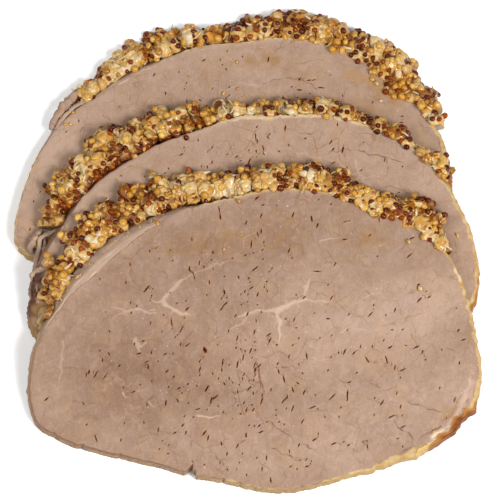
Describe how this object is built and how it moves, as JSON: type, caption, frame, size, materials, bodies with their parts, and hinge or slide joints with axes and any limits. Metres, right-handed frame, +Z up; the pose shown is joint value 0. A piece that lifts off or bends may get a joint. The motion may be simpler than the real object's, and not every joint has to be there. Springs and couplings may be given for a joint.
{
  "type": "sliced roast beef",
  "caption": "Overlapping slices of roast beef fanned out in cut order, each bent over the one behind, with a whole-grain mustard coat along the back rim.",
  "frame": {"origin": "middle of the footprint, on the surface the slices lie on", "axes": "+Z up; +Y from the front slice towards the back slice; +X to the right as seen from the front"},
  "size_m": [0.1342, 0.1478, 0.0178],
  "materials": {
    "meat": "moist cut meat",
    "seed_coat": "wet whole-grain mustard"
  },
  "bodies": {
    "root": {"slice_back": "meat", "slice_middle": "meat", "slice_front": "meat", "seed_coat_back": "seed_coat", "seed_coat_middle": "seed_coat", "seed_coat_front": "seed_coat"}
  },
  "joints": []
}
